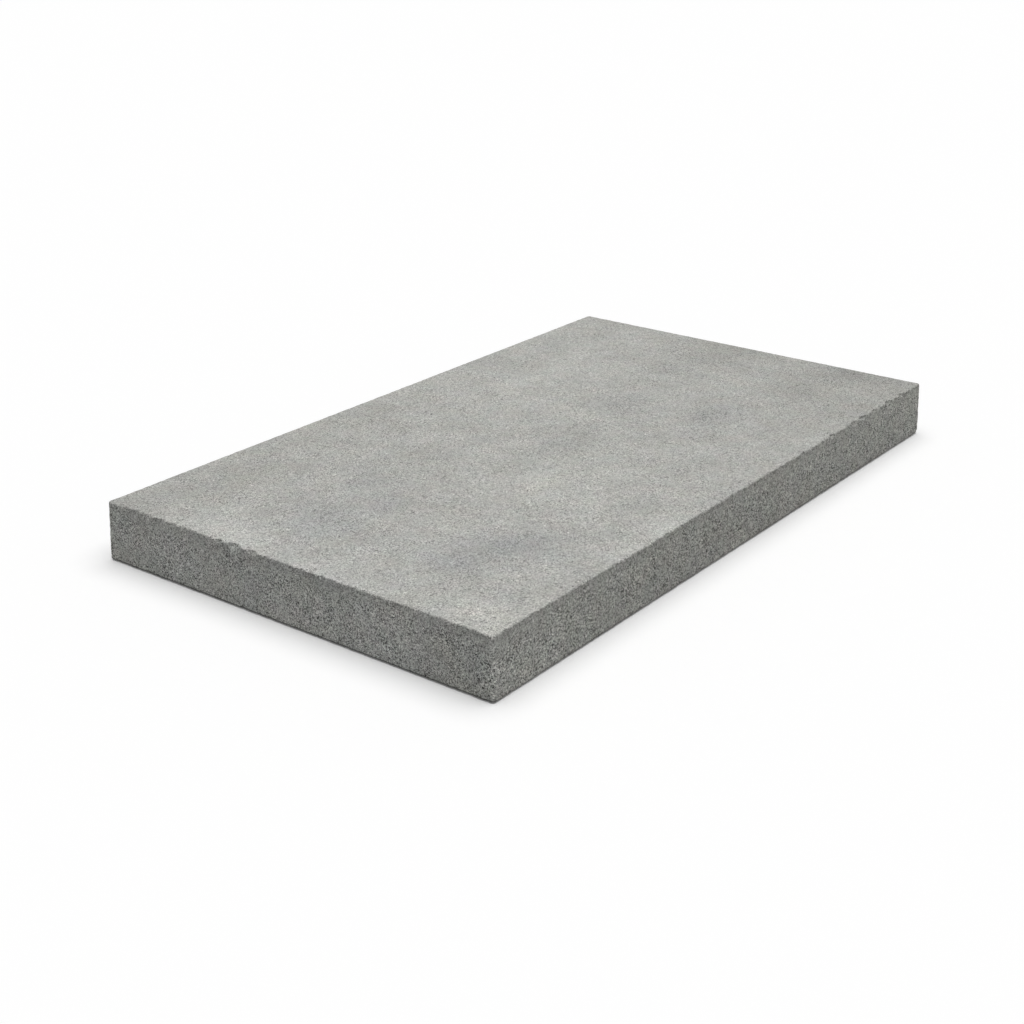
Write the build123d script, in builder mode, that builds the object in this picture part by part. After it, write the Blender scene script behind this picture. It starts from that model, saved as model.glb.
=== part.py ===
from build123d import *
import os

# A plain concrete paving slab: one rectangular solid, cast and pressed as one piece.
# Sizes are in millimetres. X runs along the slab's length, Y across its width and
# Z up through its thickness. The origin is the middle of the underside.

# Driving dimensions
slab_length = 600.0  # at the underside, to the sharp edges before they are rounded
slab_width = 350.0  # at the underside, to the sharp edges before they are rounded
slab_thickness = 45.0  # overall
mould_draft = 2.0  # degrees that each side leans in, so that the slab left its mould
corner_radius = 3.0  # plan rounding of the four upright corners
top_arris_radius = 1.5  # worn edge round the walking face
bottom_arris_radius = 2.0  # edge round the underside

# The slab: a rectangle drawn up through the thickness, leaning in by the mould's draft
with BuildPart() as paving_slab:
    with BuildSketch(Plane.XY):
        Rectangle(slab_length, slab_width)
    extrude(amount=slab_thickness, taper=mould_draft)

    # The four upright corners stand between the underside's and the top's edges
    upright_corners = paving_slab.edges().group_by(Axis.Z)[1]
    fillet(upright_corners, radius=corner_radius)

    top_arris = paving_slab.faces().sort_by(Axis.Z)[-1].edges()
    fillet(top_arris, radius=top_arris_radius)

    bottom_arris = paving_slab.faces().sort_by(Axis.Z)[0].edges()
    fillet(bottom_arris, radius=bottom_arris_radius)

paving_slab.part.label = "paving_slab"

os.makedirs("parts", exist_ok=True)
export_step(paving_slab.part, "parts/paving_slab.step")

volume = paving_slab.part.volume
size = paving_slab.part.bounding_box().size
print(f"paving_slab: {volume:.0f} mm3, {size.X:.1f} x {size.Y:.1f} x {size.Z:.1f} mm")
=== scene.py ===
"""Looks of a plain concrete paving slab: its worn mesh, its concrete and a pale studio round it."""

import math
from typing import NamedTuple

import bpy
import numpy as np
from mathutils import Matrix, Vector, noise


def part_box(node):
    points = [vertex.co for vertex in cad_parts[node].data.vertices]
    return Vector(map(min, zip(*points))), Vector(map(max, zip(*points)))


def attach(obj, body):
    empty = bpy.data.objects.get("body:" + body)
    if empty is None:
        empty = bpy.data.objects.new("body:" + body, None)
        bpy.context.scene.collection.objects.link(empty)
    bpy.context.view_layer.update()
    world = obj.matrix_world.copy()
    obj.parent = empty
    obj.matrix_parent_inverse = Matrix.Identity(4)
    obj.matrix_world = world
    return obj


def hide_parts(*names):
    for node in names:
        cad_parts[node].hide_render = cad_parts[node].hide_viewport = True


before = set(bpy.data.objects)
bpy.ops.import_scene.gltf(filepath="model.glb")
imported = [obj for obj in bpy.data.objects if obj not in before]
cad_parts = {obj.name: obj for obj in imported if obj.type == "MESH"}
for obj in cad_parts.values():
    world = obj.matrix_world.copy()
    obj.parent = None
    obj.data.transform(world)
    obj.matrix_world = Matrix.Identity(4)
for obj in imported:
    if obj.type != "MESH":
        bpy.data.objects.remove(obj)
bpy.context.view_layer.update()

MM = 0.001


class Feature(NamedTuple):
    """One kind of unevenness: the size of its features and how far they reach, both in metres."""

    size: float
    reach: float


class Layer(NamedTuple):
    """A layer of light and dark: its size in metres, and how far it swings the tone on sides and top."""

    size: float
    on_sides: float
    on_top: float


class Dots(NamedTuple):
    """Scattered dots: spacing in metres, radius as a share of it, strength, and shares of empty cells."""

    spacing: float
    radius: float
    strength: float
    side_empty: float
    top_empty: float


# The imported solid's own form: its highest corner, and the draft and rounding that it was built with
SLAB_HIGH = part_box("paving_slab")[1]
THICKNESS = SLAB_HIGH.z
DRAFT = math.radians(2.0)
SLOPE = math.tan(DRAFT)
CORNER_RADIUS = 3.0 * MM
TOP_ARRIS = 1.5 * MM
BOTTOM_ARRIS = 2.0 * MM
# The rounded bottom arris takes a little off each side of the sharp outline at the floor
ARRIS_TRIM = BOTTOM_ARRIS * (SLOPE + 1 / math.cos(DRAFT) - 1)
HALF_X = SLAB_HIGH.x + ARRIS_TRIM
HALF_Y = SLAB_HIGH.y + ARRIS_TRIM

# Lattice of the mesh. Both counts divide by nine, so that cells can grow by threes away from the edges
CELLS_X = 540
CELLS_Y = 315
CORNER_CELLS = 3
TOP_ARRIS_ROWS = 4
SIDE_ROWS = 26
BOTTOM_ARRIS_ROWS = 3
# Zones from the edge inwards: how many lattice cells wide, None for all the rest, and how many a face spans
TOP_ZONES = ((6, 1), (None, 3))
UNDERSIDE_ZONES = ((3, 1), (6, 3), (None, 9))

# Layout of the bake map, in texels
MAP_WIDTH = 1024
MAP_GAP = 4
TEXELS_PER_MM = 1.69
UNDERSIDE_TEXELS_PER_MM = 0.68
# Place of each side's strip in the stack of strips: -Y, +X, +Y and -X
STRIP_ORDER = (0, 2, 1, 3)

# How fast the octaves of the mesh's noise fade, their step in size, and how many they are
FRACTAL = (1.0, 2.0, 2)
# Relief of the walking face and of the sides
TOP_WAVE = Feature(90 * MM, 0.20 * MM)
TOP_RIPPLE = Feature(14 * MM, 0.10 * MM)
SIDE_LUMP = Feature(10 * MM, 0.40 * MM)
SIDE_GRIT = Feature(2.8 * MM, 0.45 * MM)
PIT_SPACING = 8 * MM
PIT_RADIUS = 2.4 * MM
PIT_DEPTH = 0.8 * MM
# Spreads the random draws of neighbouring pits
PIT_DRAW_SCALE = 7.3
# How far a normal rises where the walking face's relief begins and where it is full
TOP_RELIEF_FADE = (0.5, 1.0)
# How far a normal sinks where the sides' relief starts to fade towards the underside, and where it ends
UNDERSIDE_RELIEF_FADE = (0.3, 0.9)
# The underside's edge stands a little clear of the floor
FOOT_GAP = 0.7 * MM

# Ragged edge and chips are worked out only this close to the walking face's edge
RIM_ZONE = 12 * MM
# The walking face's edge is ragged in plan, and less so from the top downwards
RAGGED = Feature(4.2 * MM, 3.2 * MM)
RAGGED_DROP = 3.5 * MM
# Share of that on the sides facing -X and -Y, and on the sides facing +X and +Y
RAGGED_SHARES = ((0.72, 0.48), (0.2, 0.2))
# Share of that at the slab's corners, how far from them it starts to grow, and how far away it is whole
RAGGED_CORNER = (0.1, 14 * MM / 3, 14 * MM)
# Depth of the bites out of the edge, as a share of their reach: the middle, and the swing about it
BITES = (0.32, 0.6)
# The walking face follows its edge inwards over this distance
PULL_REACH = 9 * MM
# Stretches of the edge that are worn more, in millimetres: place along X and Y, and reach
WORN = ((-298, 105, 75), (210, -173, 90))
# How much more they are worn in their middles
WORN_MORE = 0.8

# Chips out of the walking face's edge, in millimetres: place along X and Y, and reach along X, Y and Z
CHIPS = (
    (-298.4, 47.0, 2.8, 6.5, 4.0),
    (-298.4, 61.0, 2.0, 4.0, 2.6),
    (-298.4, 30.0, 2.2, 4.0, 3.0),
    (175.0, -173.4, 5.5, 2.8, 3.6),
    (190.0, -173.4, 7.0, 2.4, 2.8),
    (238.0, -173.4, 6.0, 2.6, 3.0),
    (212.0, -173.4, 5.0, 2.2, 3.0),
    (262.0, -173.4, 5.0, 2.2, 2.6),
    (137.0, -173.4, 4.0, 2.0, 2.4),
)
# Outer limit of a chip in shares of its reach, and how far the bites draw that in
CHIP_OUTLINE = (1.25, 0.5)

# Clouding of the walking face: place and reach in millimetres, change of tone, and how bluish it is
PATCHES = (
    (-228, 30, 32, 28, -0.065, 1.0),
    (-178, 15, 16, 14, -0.08, 1.0),
    (-163, 55, 14, 18, -0.06, 0.9),
    (-222, -83, 28, 26, -0.10, 1.0),
    (-175, -108, 28, 28, -0.115, 1.0),
    (-17, -15, 45, 16, -0.16, 0.3),
    (108, -6, 26, 26, -0.09, 0.3),
    (123, -76, 34, 18, -0.15, 0.6),
    (-222, 132, 80, 28, -0.105, -0.3),
    (-27, 150, 30, 22, -0.06, -0.3),
    (-95, 145, 50, 22, -0.06, -0.2),
    (262, 10, 34, 44, -0.12, -0.2),
    (228, -95, 38, 30, -0.14, -0.3),
    (286, -112, 22, 30, -0.26, 0.0),
    (235, -160, 95, 36, -0.14, -0.3),
    (-282, 73, 23, 44, 0.21, 0.2),
    (-288, -150, 26, 42, 0.14, -0.2),
    (-70, -45, 55, 45, 0.10, -0.2),
    (-106, -104, 38, 28, 0.085, 0.0),
    (110, 95, 120, 26, 0.09, 0.0),
    (-294, -24, 22, 46, 0.18, 0.2),
    (292, 3, 18, 44, -0.15, -0.2),
    (-118, -167, 46, 18, 0.13, 0.0),
    (-284, 154, 24, 26, -0.10, 0.0),
    (136, 60, 26, 22, 0.10, 0.0),
    (181, -126, 26, 20, -0.08, 0.0),
    (-104, 58, 40, 22, -0.09, 0.0),
    (190, 18, 20, 30, -0.09, 0.2),
)
# Clouding of the sides: place, reach along and up in millimetres, change of tone, and how bluish it is
SIDE_PATCHES = (
    (-300, 0, 22, 200, 60, 0.01, 0.5),
    (0, -175, 22, 400, 60, 0.005, -0.5),
    (-300, -26, 5, 42, 11, 0.18, 0.0),
    (-300, -163, 22, 14, 34, -0.13, 0.2),
    (-300, -14, 38, 26, 8, -0.09, 0.0),
    (-300, 70, 33, 16, 14, -0.07, 0.0),
    (-300, 50, 36, 9, 7, -0.09, 0.0),
    (-300, -85, 25, 18, 16, 0.11, 0.0),
    (-300, 95, 10, 45, 9, 0.09, 0.0),
    (-300, 100, 33, 14, 10, 0.09, 0.2),
    (284, -175, 36, 26, 16, 0.17, -0.3),
    (224, -175, 30, 16, 12, 0.14, -0.4),
    (-204, -175, 20, 26, 20, 0.07, -0.2),
    (24, -175, 5, 20, 10, -0.13, 0.0),
    (-276, -175, 14, 34, 20, 0.12, -0.2),
    (-164, -175, 14, 18, 14, -0.07, 0.0),
    (-54, -175, 20, 34, 16, -0.12, 0.0),
    (-112, -175, 25, 24, 18, -0.09, -0.2),
)
# Noise of this kind bends the patches' outlines
PATCH_WARP = Feature(22 * MM, 6 * MM)

# How far a normal rises where the walking face's finish starts and where it is full
TOP_FINISH_FADE = (0.1, 1.0)
# How much sooner than that it starts at the top's own corners
TIP_SOONER = 1.2
# Depths of a chip over which that finish gives way to the sides' coarse concrete
CHIP_FADE = (0.1 * MM, 0.8 * MM)
# How far a normal sinks where the underside's finish starts and where it is full
UNDERSIDE_FADE = (0.6, 1.0)
# Pale wear: its reach at the upright corners, and its reach and share at the top's own corners
CORNER_WEAR = 2.5 * MM
TIP_WEAR = 5 * MM
TIP_SHARE = 0.25
# Middle and swing of the noise that makes the wear patchy
WEAR_PATCHES = (0.6, 0.8)

# Colours, each about as it looks in white light, but the sides' one is also a little darker as painted
# shade of their rough, open texture
TOP_COLOUR = (0.417, 0.417, 0.395)
SIDE_COLOUR = (0.366, 0.369, 0.348)
# The tints of the warmest and the most bluish patches
PATCH_TINTS = ((1.01, 1.003, 0.972), (0.99, 0.997, 1.028))
# Drift of the tint from place to place: the multipliers at its two ends, and its size in metres
WARMTH = ((0.988, 1.0, 1.014), (1.012, 1.0, 0.986))
WARMTH_SIZE = 22 * MM
MOSS = ((1.013, 0.989, 1.005), (0.987, 1.011, 0.991))
MOSS_SIZE = 11 * MM
# Each grain has a tint of its own too, between these shares of the way from cool to warm
GRAIN_TINT = (0.25, 0.75)

GRAIN = Layer(0.68 * MM, 1.68, 0.99)
SAND = Layer(2.2 * MM, 0.16, 0.18)
CLUMP = Layer(7.0 * MM, 0.42, 0.17)
CLOUD = Layer(38 * MM, 0.30, 0.42)
# Grain, sand and clumps darken no spot below this tone
DARKEST_TONE = 0.12
# The material's smooth noise stays between about these values
NOISE_SPAN = (0.3, 0.7)
# The grains' shapes are stirred, and their contrast comes and goes: its size in metres, least and most
STIR = Feature(1.9 * MM, 1.1 * MM)
CONTRAST = (16 * MM, 0.70, 1.30)
# Pores, painted dark for the shade inside them, and pale specks
PORES = Dots(2.8 * MM, 0.32, 0.55, 0.45, 0.90)
SPECKS = Dots(3.3 * MM, 0.26, 0.45, 0.55, 0.86)
# The fine layer of the walking face crumbles off its edge: how far grains and sand swing its share there
CRUMBLE = (0.4, 0.8)
# Between these two of the swung shares the finish goes over from the sides' to the top's
CRUMBLED_EDGE = (0.3, 0.6)
# The sides are closed and smooth for a few millimetres under the top, with this share of their contrast
BAND_DROP = 7 * MM
BAND_CALM = 0.68
# They are a shade darker there too: the tone, how far under the top it starts to fade, and where it ends
RIM_SHADE = (0.86, 1.5 * MM, 7 * MM)
# Painted contact shadow along the foot of the sides, where they meet the floor: the heights where it starts
# to fade and where it ends, and its tone
FOOT_SHADOW_HEIGHTS = (1.6 * MM, 2.5 * MM)
FOOT_SHADOW_TONE = 0.2
# Past the side facing -X, between these two places along X, the painted shadow falls to this share
FOOT_SHADOW_WEAKER_BEYOND = (-297.5 * MM, -296.5 * MM, 0.5)

# Heights of the fine relief that only the shading shows, on the sides and on the top. Pores are sunk
GRAIN_RELIEF = (0.14 * MM, 0.045 * MM)
SAND_RELIEF = (0.30 * MM, 0.08 * MM)
PORE_RELIEF = (-0.35 * MM, -0.20 * MM)
ROUGHNESS = (0.86, 0.96)
SPECULAR = 0.3
# Numbers of the Mix node's two colour inputs and of its colour output
MIX_COLOURS = (6, 7)
MIX_RESULT = 2

# Light: one wide softbox above and a faint even sky. The floor returns less light than the eye sees of it
SUN_STRENGTH = 2.28
SUN_ANGLE = math.radians(68)
SUN_DIRECTION = Vector((0.085, -0.055, 1))
WORLD_LIGHT = 0.243
FLOOR_SIZE = 40.0
FLOOR_BOUNCE = 0.62
FLOOR_TONE = 0.98
FLOOR_GLOW = 0.049

# The camera's place, heading from +X, dip below level, and focal length in pixels of a picture this wide
CAMERA_PLACE = Vector((-0.97858, -0.70517, 0.48797))
CAMERA_HEADING = math.radians(37.280)
CAMERA_DIP = math.radians(22.802)
FOCAL_PIXELS = 1640.4
PICTURE_WIDTH = 1024
# Width of the camera's sensor in millimetres
SENSOR = 36.0


def section():
    """Rows of a side's profile from the top's edge to the underside's: inset, height, normal's rise."""
    rows = []
    centre_z = THICKNESS - TOP_ARRIS
    centre_inset = centre_z * SLOPE + TOP_ARRIS / math.cos(DRAFT)
    for step in range(TOP_ARRIS_ROWS + 1):
        rise = math.pi / 2 + (DRAFT - math.pi / 2) * step / TOP_ARRIS_ROWS
        inset = centre_inset - TOP_ARRIS * math.cos(rise)
        rows.append((inset, centre_z + TOP_ARRIS * math.sin(rise), rise))
    side_top = rows[-1][1]
    side_bottom = BOTTOM_ARRIS * (1 + math.sin(DRAFT))
    for step in range(1, SIDE_ROWS):
        height = side_top + (side_bottom - side_top) * step / SIDE_ROWS
        rows.append((height * SLOPE, height, DRAFT))
    centre_inset = BOTTOM_ARRIS * (SLOPE + 1 / math.cos(DRAFT))
    for step in range(BOTTOM_ARRIS_ROWS + 1):
        rise = DRAFT - (DRAFT + math.pi / 2) * step / BOTTOM_ARRIS_ROWS
        inset = centre_inset - BOTTOM_ARRIS * math.cos(rise)
        rows.append((inset, BOTTOM_ARRIS * (1 + math.sin(rise)), rise))
    return rows


def core_and_turn(index, count):
    """A lattice line's place along the straight core, from -1 to 1, and its turn into a rounded corner."""
    core = np.clip((index - CORNER_CELLS) / (count - 2 * CORNER_CELLS), 0, 1) * 2 - 1
    turn = np.clip(index - (count - CORNER_CELLS), 0, None) - np.clip(CORNER_CELLS - index, 0, None)
    return core, turn / CORNER_CELLS


def lattice_points(i, j, inset, height, rise):
    """Places, normals and plan directions of lattice points (i, j) on the outline with this inset."""
    core_x, turn_x = core_and_turn(i, CELLS_X)
    core_y, turn_y = core_and_turn(j, CELLS_Y)
    arm_x = turn_x * np.sqrt(1 - turn_y**2 / 2)
    arm_y = turn_y * np.sqrt(1 - turn_x**2 / 2)
    radius = CORNER_RADIUS - inset + height * SLOPE
    x = core_x * (HALF_X - inset - radius) + arm_x * radius
    y = core_y * (HALF_Y - inset - radius) + arm_y * radius
    places = np.stack([x, y, np.full(len(x), height)], 1)
    arms = np.stack([arm_x, arm_y], 1)
    normals = np.column_stack([arms * math.cos(rise), np.full(len(x), math.sin(rise))])
    return places, normals, arms


def edge_loop():
    """Lattice points round the edge, counter-clockwise from above, starting at the low corner."""
    along_x = np.arange(CELLS_X)
    along_y = np.arange(CELLS_Y)
    i = np.concatenate([along_x, np.full(CELLS_Y, CELLS_X), CELLS_X - along_x, np.zeros(CELLS_Y, int)])
    j = np.concatenate([np.zeros(CELLS_X, int), along_y, np.full(CELLS_X, CELLS_Y), CELLS_Y - along_y])
    return i, j


def cell_faces(i, j, step, start, finer):
    """One cell, or a fan of triangles where its outer sides meet finer cells."""
    right, top = i + step, j + step
    outer = (j == start, right == CELLS_X - start, top == CELLS_Y - start, i == start)
    corners = ((i, j), (right, j), (right, top), (i, top))
    if finer is None or not any(outer):
        return [corners]
    loop = []
    for side, (a, b) in enumerate(corners):
        c, d = corners[(side + 1) % 4]
        pieces = step // finer if outer[side] else 1
        loop.extend((a + (c - a) * n // pieces, b + (d - b) * n // pieces) for n in range(pieces))
    middle = (i + step // 2, j + step // 2)
    return [(loop[n], loop[(n + 1) % len(loop)], middle) for n in range(len(loop))]


def zone_faces(zones):
    """Faces of a flat side as loops of lattice points: small cells by the edge and larger ones inside."""
    faces = []
    start, finer = 0, None
    for width, step in zones:
        end = start + width if width else max(CELLS_X, CELLS_Y)
        for i in range(start, CELLS_X - start, step):
            for j in range(start, CELLS_Y - start, step):
                if not (end <= i < CELLS_X - end and end <= j < CELLS_Y - end):
                    faces.extend(cell_faces(i, j, step, start, finer))
        start, finer = end, step
    return faces


def flat_side(zones, row, rim, first):
    """The inner points of the top or the underside, numbered from first, and its faces by point number."""
    loops = zone_faces(zones)
    number = np.full((CELLS_X + 1, CELLS_Y + 1), -1)
    number[edge_loop()] = rim
    inner = np.array(sorted({point for loop in loops for point in loop if number[point] < 0}))
    number[inner[:, 0], inner[:, 1]] = first + np.arange(len(inner))
    facing = 1 if row[2] > 0 else -1
    faces = [[int(number[point]) for point in loop[::facing]] for loop in loops]
    return lattice_points(inner[:, 0], inner[:, 1], *row), faces


def wall_faces(row_count):
    """Quads between the rows of the profile, all round the slab, and the point numbers of each row."""
    round_count = 2 * (CELLS_X + CELLS_Y)
    number = np.arange(row_count * round_count).reshape(row_count, round_count)
    following = np.roll(number, -1, axis=1)
    quads = np.stack([number[:-1], number[1:], following[1:], following[:-1]], -1)
    return quads.reshape(-1, 4).tolist(), number


def wall_layout(profile):
    """Bake map texels of the wall quads' corners, in the quads' order: a strip for each of the sides."""
    insets, heights, _ = np.transpose(profile)
    steps = np.hypot(np.diff(insets), np.diff(heights))
    depth = np.concatenate([[0], np.cumsum(steps)]) / MM * TEXELS_PER_MM
    sides = (CELLS_X, CELLS_Y, CELLS_X, CELLS_Y)
    cell = 2 * HALF_X / CELLS_X / MM * TEXELS_PER_MM
    left = MAP_GAP + np.concatenate([np.arange(count) for count in sides]) * cell
    strip = np.repeat(STRIP_ORDER, sides)
    high = 2 * MAP_GAP + 2 * HALF_Y / MM * TEXELS_PER_MM + strip * (depth[-1] + MAP_GAP)
    right = left + cell
    texels = [
        np.stack([left, high + upper, left, high + lower, right, high + lower, right, high + upper], 1)
        for upper, lower in zip(depth[:-1], depth[1:])
    ]
    return np.concatenate(texels).reshape(-1, 2)


def flat_layout(places, faces, texels_per_mm, origin):
    """Bake map texels of a flat side's face corners."""
    corners = [number for face in faces for number in face]
    return origin + (places[corners, :2] + (HALF_X, HALF_Y)) / MM * texels_per_mm


def slab_form():
    """Places, normals and plan directions of the unworn slab's points, its faces, and their map texels."""
    profile = section()
    walls, number = wall_faces(len(profile))
    points = [lattice_points(*edge_loop(), *row) for row in profile]
    top_points, top_faces = flat_side(TOP_ZONES, profile[0], number[0], number.size)
    under_first = number.size + len(top_points[0])
    under_points, under_faces = flat_side(UNDERSIDE_ZONES, profile[-1], number[-1], under_first)
    places, normals, arms = (np.concatenate(kind) for kind in zip(*points, top_points, under_points))

    # On the map, the sides' strips lie past the top, and the underside in the corner that they leave
    under_left = 2 * MAP_GAP + 2 * HALF_Y / MM * TEXELS_PER_MM
    under_start = MAP_WIDTH - MAP_GAP - 2 * HALF_Y / MM * UNDERSIDE_TEXELS_PER_MM
    layouts = (
        wall_layout(profile),
        flat_layout(places, top_faces, TEXELS_PER_MM, (MAP_GAP, MAP_GAP)),
        flat_layout(places, under_faces, UNDERSIDE_TEXELS_PER_MM, (under_left, under_start)),
    )
    return places, normals, arms, walls + top_faces + under_faces, np.concatenate(layouts)


def fractal(places, size):
    """Smooth noise from about -1 to 1 at each place, with features of this size."""
    return np.array([noise.fractal(Vector(place), *FRACTAL) for place in places / size])


def bumpy(places, feature):
    """Depths from 0 to the feature's own reach."""
    return feature.reach * np.clip(0.5 + 0.5 * fractal(places, feature.size), 0, 1)


def pits(places):
    """Depths of round pits, one in each cell of space, with the radius that the cell draws."""
    depths = np.zeros(len(places))
    for n, place in enumerate(places / PIT_SPACING):
        distances, points = noise.voronoi(Vector(place))
        radius = PIT_RADIUS / PIT_SPACING * (noise.cell(points[0] * PIT_DRAW_SCALE) * 0.5 + 0.5)
        if distances[0] < radius:
            depths[n] = PIT_DEPTH * (1 - (distances[0] / radius) ** 2)
    return depths


def soft_step(value, low, high):
    """0 up to low and 1 from high on, with a smooth rise between them."""
    share = np.clip((value - low) / (high - low), 0, 1)
    return share * share * (3 - 2 * share)


def within_sides(places):
    """How far each place lies inside the slab's sides, along X and along Y."""
    return (HALF_X, HALF_Y) - np.abs(places[:, :2]) - places[:, 2:] * SLOPE


def rim_distance(places):
    """How far each place is from the sharp edge that the top and a side would have."""
    to_side = np.minimum(HALF_X - np.abs(places[:, 0]), HALF_Y - np.abs(places[:, 1])) - THICKNESS * SLOPE
    return np.hypot(np.clip(to_side, 0, None), THICKNESS - places[:, 2])


def rim_pull(places):
    """Way out of the slab along X and Y: 1 at its sides, and fading to 0 at some distance inside them."""
    return np.sign(places[:, :2]) * np.clip(1 - (within_sides(places) - TOP_ARRIS) / PULL_REACH, 0, 1)


def edge_noise(places):
    """Bites out of the walking face's edge, from 0 to 1."""
    middle, swing = BITES
    return np.clip(middle + swing * fractal(places, RAGGED.size), 0, 1)


def ragged(places):
    """The ragged edge's way into the slab along X and Y, alike for all places in line behind it."""
    corner_share, corner_end, whole_from = RAGGED_CORNER
    to_corner = np.hypot(HALF_X - np.abs(places[:, 0]), HALF_Y - np.abs(places[:, 1]))
    whole = soft_step(to_corner, corner_end, whole_from)
    depth = RAGGED.reach * (corner_share + (1 - corner_share) * whole)
    depth *= np.exp(-(((THICKNESS - places[:, 2]) / RAGGED_DROP) ** 2))
    for x, y, reach in WORN:
        away = np.hypot(places[:, 0] / MM - x, places[:, 1] / MM - y) / reach
        depth *= 1 + WORN_MORE * np.exp(-(away**2))
    ways = -rim_pull(places) * depth[:, None]
    for axis, (half, low_share, high_share) in enumerate(zip((HALF_X, HALF_Y), *RAGGED_SHARES)):
        low_side = places[:, axis] < 0
        edge = half - THICKNESS * SLOPE - TOP_ARRIS / 2
        on_edge = places.copy()
        on_edge[:, axis] = np.where(low_side, -edge, edge)
        ways[:, axis] *= np.where(low_side, low_share, high_share) * edge_noise(on_edge)
    return ways


def chipped(places):
    """How deep the chips reach at each place."""
    depth = np.zeros(len(places))
    near = rim_distance(places) < RIM_ZONE
    bites = edge_noise(places[near])
    limit, drawn_in = CHIP_OUTLINE
    for x, y, *reaches in CHIPS:
        away = (places[near] / MM - (x, y, THICKNESS / MM)) / reaches
        inside = np.clip(limit - np.linalg.norm(away, axis=1) - drawn_in * bites, 0, 1)
        depth[near] += min(reaches) * MM * inside
    return depth


def relief(places, normals, arms, chips):
    """Each point's way into the slab. Arms are the plan directions out of it, 0 away from the rim."""
    top_share = soft_step(normals[:, 2], *TOP_RELIEF_FADE)
    under_share = soft_step(-normals[:, 2], *UNDERSIDE_RELIEF_FADE)
    walls = (top_share < 1) & (under_share < 1)
    depth = top_share * (bumpy(places, TOP_WAVE) + bumpy(places, TOP_RIPPLE))
    on_walls = places[walls]
    share = (1 - top_share - under_share)[walls]
    depth[walls] += share * (bumpy(on_walls, SIDE_LUMP) + bumpy(on_walls, SIDE_GRIT) + pits(on_walls))
    depth += FOOT_GAP * under_share * np.linalg.norm(arms, axis=1)
    ways = -normals * depth[:, None]

    # A chip goes as far down as it goes inwards
    chip_ways = np.column_stack([rim_pull(places), np.ones(len(places))])
    ways -= chip_ways * (chips * math.sqrt(0.5))[:, None]
    near = rim_distance(places) < RIM_ZONE
    ways[near, :2] += ragged(places[near])
    return ways


def soft_patch(places, middle, reaches):
    """1 in the patch's middle, fading to 0 a little past its reaches."""
    return np.exp(-(((places - middle) / reaches) ** 2).sum(axis=1))


def clouding(places, top_share):
    """Tone and bluishness of the patches at each place."""
    shift = np.stack([fractal(places + n, PATCH_WARP.size) for n in range(3)], 1) * PATCH_WARP.reach
    warped = (places + shift) / MM
    tone = np.ones(len(places))
    bluish = np.zeros(len(places))
    for x, y, reach_x, reach_y, change, blue in PATCHES:
        share = top_share * soft_patch(warped[:, :2], (x, y), (reach_x, reach_y))
        tone += change * share
        bluish += blue * share
    for x, y, z, reach_along, reach_up, change, blue in SIDE_PATCHES:
        share = (1 - top_share) * soft_patch(warped, (x, y, z), (reach_along, reach_along, reach_up))
        tone += change * share
        bluish += blue * share
    return tone, bluish


def tip_share(places):
    """1 at the top's own corners, and 0 away from them."""
    away = within_sides(places).max(axis=1) + THICKNESS - places[:, 2]
    return np.exp(-((away / TIP_WEAR) ** 2))


def wear(places):
    """How much each place is rubbed pale, from 0 to 1."""
    corner = np.exp(-((np.hypot(*within_sides(places).T) / CORNER_WEAR) ** 2))
    middle, swing = WEAR_PATCHES
    patchy = np.clip(middle + swing * fractal(places, SIDE_GRIT.size), 0, 1)
    return np.clip(corner + TIP_SHARE * tip_share(places), 0, 1) * patchy


def paint_shares(mesh, places, normals, chips):
    """Writes the shares that the material reads onto the mesh's points."""
    start, full = TOP_FINISH_FADE
    top_share = soft_step(normals[:, 2], start - TIP_SOONER * tip_share(places), full)
    top_share *= 1 - soft_step(chips, *CHIP_FADE)
    tone, bluish = clouding(places, top_share)
    shares = {
        "top_share": top_share,
        "tone": tone,
        "bluish": bluish,
        "wear": wear(places),
        "underside": soft_step(-normals[:, 2], *UNDERSIDE_FADE),
    }
    for name, values in shares.items():
        mesh.attributes.new(name, "FLOAT", "POINT").data.foreach_set("value", values.astype(np.float32))


def slab_piece(material):
    """The slab as one closed mesh with its relief, its bake map and the shares that its material reads."""
    places, normals, arms, faces, texels = slab_form()
    chips = chipped(places)
    sunk = places + relief(places, normals, arms, chips)
    mesh = bpy.data.meshes.new("slab_body")
    mesh.from_pydata(sunk.tolist(), [], faces)
    mesh.shade_smooth()
    bake_map = mesh.uv_layers.new(name="OFBake")
    bake_map.uv.foreach_set("vector", (texels / MAP_WIDTH).astype(np.float32).ravel())
    paint_shares(mesh, places, normals, chips)
    mesh.materials.append(material)
    piece = bpy.data.objects.new("slab_body", mesh)
    bpy.context.scene.collection.objects.link(piece)
    return piece


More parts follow.
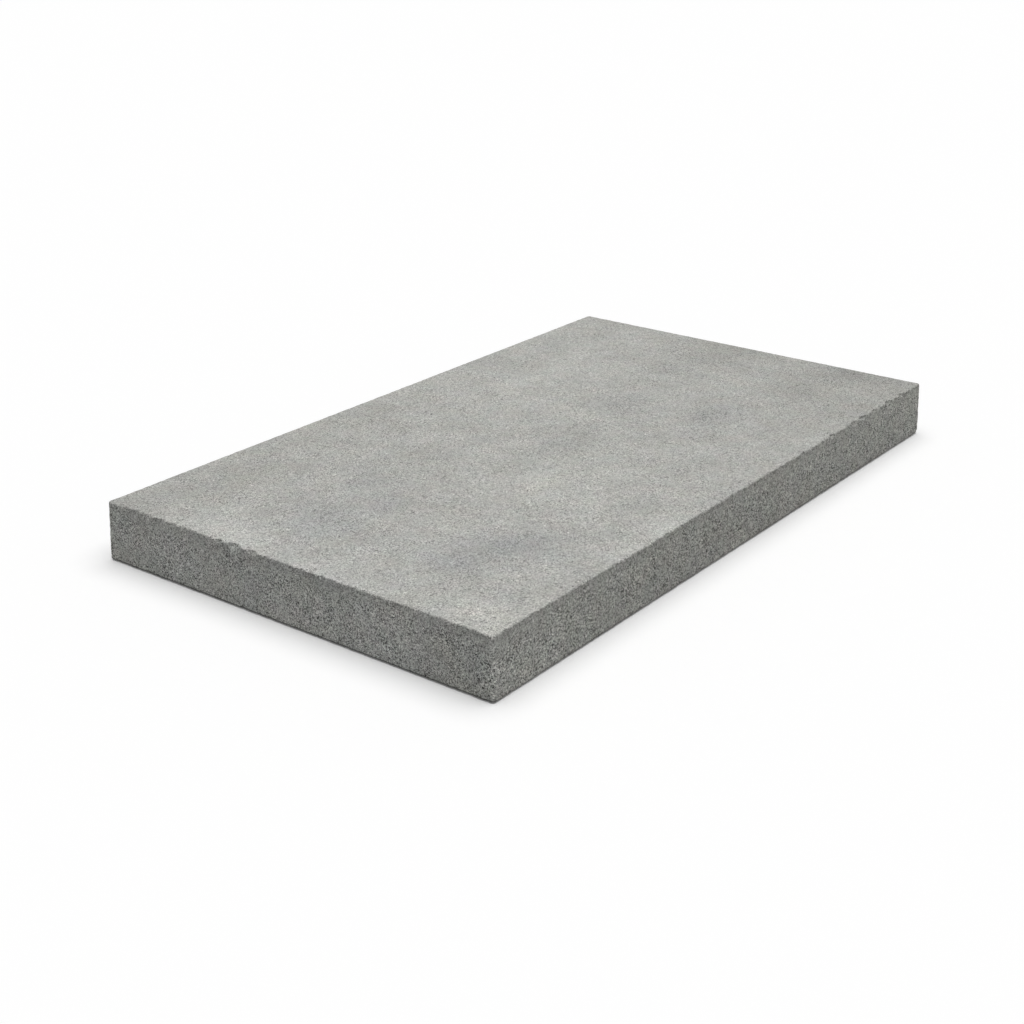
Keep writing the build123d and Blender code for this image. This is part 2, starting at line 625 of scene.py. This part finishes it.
class Look:
    """The nodes of a material or of the world, with short ways to add more of them."""

    def __init__(self, owner):
        self.owner = owner
        owner.use_nodes = True
        self.tree = owner.node_tree
        self.tree.nodes.clear()

    def add(self, kind, inputs=None, **settings):
        """A node with these settings, whose inputs are values or other nodes' outputs."""
        node = self.tree.nodes.new("ShaderNode" + kind)
        for name, value in settings.items():
            setattr(node, name, value)
        for name, value in (inputs or {}).items():
            if isinstance(value, bpy.types.NodeSocket):
                self.tree.links.new(value, node.inputs[name])
            else:
                node.inputs[name].default_value = value
        return node

    def maths(self, operation, *values):
        """The result of one calculation."""
        return self.add("Math", dict(enumerate(values)), operation=operation).outputs[0]

    def swung(self, total, signal, swing):
        """The total with a signal from 0 to 1 added, which moves it by up to half the swing each way."""
        return self.maths("MULTIPLY_ADD", self.maths("SUBTRACT", signal, 0.5), swing, total)

    def scaled(self, colour, factor):
        """The colour or shift times a number."""
        return self.add("VectorMath", {0: colour, "Scale": factor}, operation="SCALE").outputs[0]

    def tinted(self, colour, tint):
        """The colour times another one, channel by channel."""
        return self.add("VectorMath", {0: colour, 1: tint}, operation="MULTIPLY").outputs[0]

    def blend(self, share, colours):
        """A colour between two, by a share from 0 to 1."""
        ends = {socket: (*colour, 1) for socket, colour in zip(MIX_COLOURS, colours)}
        return self.add("Mix", {0: share, **ends}, data_type="RGBA").outputs[MIX_RESULT]

    def between(self, value, low, high, to_low=0.0, to_high=1.0, kind="LINEAR"):
        """The value's place between low and high, as a number from to_low to to_high."""
        inputs = {"Value": value, "From Min": low, "From Max": high, "To Min": to_low, "To Max": to_high}
        return self.add("MapRange", inputs, interpolation_type=kind).outputs[0]

    def painted(self, name):
        """The share of this name that is painted on the mesh's points."""
        return self.add("Attribute", attribute_name=name).outputs["Fac"]

    def noise(self, place, size, seed):
        """Smooth noise from 0 to 1, different for each seed."""
        inputs = {"Vector": place, "W": seed, "Scale": 1 / size}
        return self.add("TexNoise", inputs, noise_dimensions="4D").outputs[0]

    def cells(self, place, size):
        """Distance from the middle of each place's cell, and two random numbers for the cell."""
        cells = self.add("TexVoronoi", {"Vector": place, "Scale": 1 / size})
        draws = self.add("SeparateColor", {"Color": cells.outputs["Color"]})
        return cells.outputs["Distance"], draws.outputs[0], draws.outputs[1]

    def dots(self, place, top_share, pattern):
        """Soft round dots in the cells that draw more than the empty share, from 0 to 1."""
        distance, draw, _ = self.cells(place, pattern.spacing)
        dot = self.between(distance, pattern.radius, pattern.radius / 2, kind="SMOOTHSTEP")
        empty = self.between(top_share, 0, 1, pattern.side_empty, pattern.top_empty)
        return self.maths("MULTIPLY", dot, self.maths("GREATER_THAN", draw, empty))


def stirred_places(look, place):
    """Places moved a little by noise, so that grains, pores and specks have uneven shapes."""
    stir = look.add("TexNoise", {"Vector": place, "Scale": 1 / STIR.size}).outputs["Color"]
    stir = look.add("VectorMath", {0: stir, 1: (0.5, 0.5, 0.5)}, operation="SUBTRACT").outputs[0]
    shift = look.scaled(stir, 2 * STIR.reach)
    return look.add("VectorMath", {0: shift, 1: place}, operation="ADD").outputs[0]


def crumbled_top(look, grain, sand):
    """Share of the walking face's finish, whose edge crumbles along grains and sand."""
    share = look.painted("top_share")
    for signal, reach in zip((grain, sand), CRUMBLE):
        share = look.swung(share, signal, reach)
    return look.between(share, *CRUMBLED_EDGE, kind="SMOOTHSTEP")


def side_calm(look, height, clump, top_share):
    """Share of the contrast that is left: less in the closed band under the top, which ends unevenly."""
    uneven = look.maths("MULTIPLY_ADD", clump, 2 * BAND_DROP, height)
    band = look.between(uneven, THICKNESS - BAND_DROP / 2, THICKNESS + BAND_DROP / 2, kind="SMOOTHSTEP")
    band = look.maths("MULTIPLY", band, look.maths("SUBTRACT", 1.0, top_share))
    return look.between(band, 0, 1, 1, BAND_CALM)


def grain_tone(look, place, top_share, calm, signals):
    """Light and dark of the grains, sand and clumps."""
    swings = 0.0
    for signal, layer in zip(signals, (GRAIN, SAND, CLUMP)):
        swings = look.swung(swings, signal, look.between(top_share, 0, 1, layer.on_sides, layer.on_top))
    size, least, most = CONTRAST
    contrast = look.between(look.noise(place, size, seed=6), *NOISE_SPAN, least, most)
    tone = look.maths("MULTIPLY_ADD", swings, look.maths("MULTIPLY", calm, contrast), 1.0)
    return look.maths("MAXIMUM", tone, DARKEST_TONE)


def cloud_tone(look, place, top_share):
    """Light and dark of the broad clouds."""
    swing = look.between(top_share, 0, 1, CLOUD.on_sides, CLOUD.on_top)
    return look.swung(1.0, look.noise(place, CLOUD.size, seed=3), swing)


def painted_foot_shadow(look, along, height):
    """Painted contact shadow, dark along the foot of the sides and weaker away from the one facing -X. The
    underside gets none of it.
    """
    foot_shadow = look.between(height, *FOOT_SHADOW_HEIGHTS, 1, 0, kind="SMOOTHSTEP")
    start, end, weaker = FOOT_SHADOW_WEAKER_BEYOND
    foot_shadow = look.maths("MULTIPLY", foot_shadow, look.between(along, start, end, 1, weaker))
    foot_shadow = look.maths("MULTIPLY", foot_shadow, look.maths("SUBTRACT", 1.0, look.painted("underside")))
    return look.between(foot_shadow, 0, 1, 1, FOOT_SHADOW_TONE)


def rim_tone(look, height, top_share):
    """The sides' darker shade close under the top."""
    shade, full_drop, end_drop = RIM_SHADE
    shade = look.between(height, THICKNESS - end_drop, THICKNESS - full_drop, 1, shade, kind="SMOOTHSTEP")
    return look.maths("MAXIMUM", shade, top_share)


def tinted_colour(look, place, top_share, grain_tint):
    """The sides' and the top's colours, with the tints of the patches, of two drifts and of each grain."""
    tints = [look.blend(look.between(look.painted("bluish"), -1, 1), PATCH_TINTS)]
    for seed, (ends, size) in enumerate(((WARMTH, WARMTH_SIZE), (MOSS, MOSS_SIZE)), start=4):
        tints.append(look.blend(look.between(look.noise(place, size, seed), *NOISE_SPAN), ends))
    tints.append(look.blend(look.between(grain_tint, 0, 1, *GRAIN_TINT), WARMTH))
    # The sides' colour holds a little painted shade of their rough texture, besides their coarser concrete
    colour = look.blend(top_share, (SIDE_COLOUR, TOP_COLOUR))
    for tint in tints:
        colour = look.tinted(colour, tint)
    return colour


def fine_relief(look, top_share, signals):
    """Normals of the grains, sand and pores, which are too fine for the mesh."""
    height = 0.0
    for signal, (on_sides, on_top) in zip(signals, (GRAIN_RELIEF, SAND_RELIEF, PORE_RELIEF)):
        height = look.maths("MULTIPLY_ADD", signal, look.between(top_share, 0, 1, on_sides, on_top), height)
    return look.add("Bump", {"Height": height, "Distance": 1.0, "Strength": 1.0}).outputs[0]


def concrete():
    """Pressed concrete: a cloudy even top, coarse open sides, pores, specks, pale corners, and a painted
    contact shadow at the foot.
    """
    look = Look(bpy.data.materials.new("concrete"))
    place = look.add("TexCoord").outputs["Object"]
    along, _, height = look.add("SeparateXYZ", {0: place}).outputs
    stirred = stirred_places(look, place)
    _, grain, grain_tint = look.cells(stirred, GRAIN.size)
    sand = look.noise(place, SAND.size, seed=1)
    clump = look.noise(place, CLUMP.size, seed=2)
    top_share = crumbled_top(look, grain, sand)
    calm = side_calm(look, height, clump, top_share)
    pores = look.maths("MULTIPLY", look.dots(stirred, top_share, PORES), calm)
    specks = look.dots(stirred, top_share, SPECKS)
    pale = look.maths("MAXIMUM", specks, look.maths("MULTIPLY", look.painted("wear"), grain))

    tone = grain_tone(look, place, top_share, calm, (grain, sand, clump))
    other_tones = (
        cloud_tone(look, place, top_share),
        look.painted("tone"),
        # Painted shade inside the sunk pores
        look.between(pores, 0, 1, 1, 1 - PORES.strength),
        look.between(pale, 0, 1, 1, 1 + SPECKS.strength),
        # Painted contact shadow along the foot of the sides
        painted_foot_shadow(look, along, height),
        rim_tone(look, height, top_share),
    )
    for other in other_tones:
        tone = look.maths("MULTIPLY", tone, other)

    shader = look.add(
        "BsdfPrincipled",
        {
            "Base Color": look.scaled(tinted_colour(look, place, top_share, grain_tint), tone),
            "Roughness": look.between(sand, *NOISE_SPAN, *ROUGHNESS),
            "Specular IOR Level": SPECULAR,
            "Normal": fine_relief(look, top_share, (grain, sand, pores)),
        },
    )
    look.add("OutputMaterial", {"Surface": shader.outputs[0]})
    return look.owner


def seen_rays(look):
    """1 for rays that see the background, straight or by way of gloss or glass, and 0 for all others."""
    rays = look.add("LightPath").outputs
    seen = look.maths("MAXIMUM", rays["Is Camera Ray"], rays["Is Glossy Ray"])
    return look.maths("MAXIMUM", seen, rays["Is Transmission Ray"])


def floor_material():
    """White paper: plain to the light, and brightened for the eye so that only the slab's shadow shows."""
    look = Look(bpy.data.materials.new("white_floor"))
    seen = seen_rays(look)
    tone = look.between(seen, 0, 1, FLOOR_BOUNCE, FLOOR_TONE)
    paper = look.add("BsdfDiffuse", {"Color": tone})
    glow = look.add("Emission", {"Strength": look.maths("MULTIPLY", seen, FLOOR_GLOW)})
    both = look.add("AddShader", {0: paper.outputs[0], 1: glow.outputs[0]})
    look.add("OutputMaterial", {"Surface": both.outputs[0]})
    return look.owner


def make_floor():
    """A wide white floor, which isn't part of the object."""
    half = FLOOR_SIZE / 2
    corners = [(-half, -half, 0), (half, -half, 0), (half, half, 0), (-half, half, 0)]
    mesh = bpy.data.meshes.new("floor")
    mesh.from_pydata(corners, [], [(0, 1, 2, 3)])
    mesh.materials.append(floor_material())
    floor = bpy.data.objects.new("floor", mesh)
    bpy.context.scene.collection.objects.link(floor)


def make_world():
    """A faint even sky, which is seen as white."""
    look = Look(bpy.data.worlds.new("studio"))
    strength = look.between(seen_rays(look), 0, 1, WORLD_LIGHT, 1.0)
    background = look.add("Background", {"Color": (1, 1, 1, 1), "Strength": strength})
    look.add("OutputWorld", {"Surface": background.outputs[0]})
    bpy.context.scene.world = look.owner


def make_sun():
    """The wide softbox above the slab."""
    sun = bpy.data.lights.new("softbox", "SUN")
    sun.energy = SUN_STRENGTH
    sun.angle = SUN_ANGLE
    lamp = bpy.data.objects.new("softbox", sun)
    lamp.rotation_mode = "QUATERNION"
    lamp.rotation_quaternion = SUN_DIRECTION.to_track_quat("Z", "Y")
    bpy.context.scene.collection.objects.link(lamp)


def make_camera():
    """The photograph's camera."""
    data = bpy.data.cameras.new("camera")
    data.sensor_width = SENSOR
    data.lens = FOCAL_PIXELS * SENSOR / PICTURE_WIDTH
    camera = bpy.data.objects.new("camera", data)
    level = math.cos(CAMERA_DIP)
    ahead = (math.cos(CAMERA_HEADING) * level, math.sin(CAMERA_HEADING) * level, -math.sin(CAMERA_DIP))
    camera.location = CAMERA_PLACE
    camera.rotation_mode = "QUATERNION"
    camera.rotation_quaternion = Vector(ahead).to_track_quat("-Z", "Y")
    bpy.context.scene.collection.objects.link(camera)
    bpy.context.scene.camera = camera


bpy.context.scene.view_settings.view_transform = "Standard"
make_camera()
make_world()
make_sun()
make_floor()

slab = slab_piece(concrete())
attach(slab, "root")
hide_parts("paving_slab")
